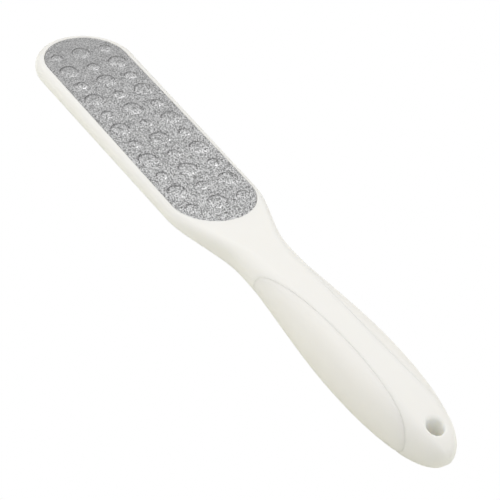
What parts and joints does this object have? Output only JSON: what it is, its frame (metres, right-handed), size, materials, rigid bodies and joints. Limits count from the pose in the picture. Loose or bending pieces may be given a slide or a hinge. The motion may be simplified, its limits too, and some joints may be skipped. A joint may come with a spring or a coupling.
{
  "type": "callus remover",
  "caption": "Straight double-sided foot file: long rounded head with a disc-studded coarse metal plate and a flat fine plate, slim neck, swelling handle with side grips and a hang hole.",
  "frame": {"origin": "centre of the bounding box's bottom: under the middle of the file, at the height of the handle's belly", "axes": "+X along the file from the head to the handle's tail, +Z out of the coarse plate, Y across the file"},
  "size_m": [0.2594, 0.0406, 0.0196],
  "materials": {
    "white_plastic": "satin warm-white injection-moulded plastic",
    "grip_plastic": "satin warm-white moulded side grip",
    "coarse_metal": "coarse grey abrasive grain on metal with raised discs",
    "fine_metal": "fine even grey abrasive grain on metal",
    "adhesive": "translucent double-sided adhesive sheet"
  },
  "bodies": {
    "root": {"handle_body": "white_plastic", "left_grip": "grip_plastic", "right_grip": "grip_plastic", "coarse_plate": "coarse_metal", "fine_plate": "fine_metal", "coarse_plate_adhesive": "adhesive", "fine_plate_adhesive": "adhesive"}
  },
  "joints": []
}
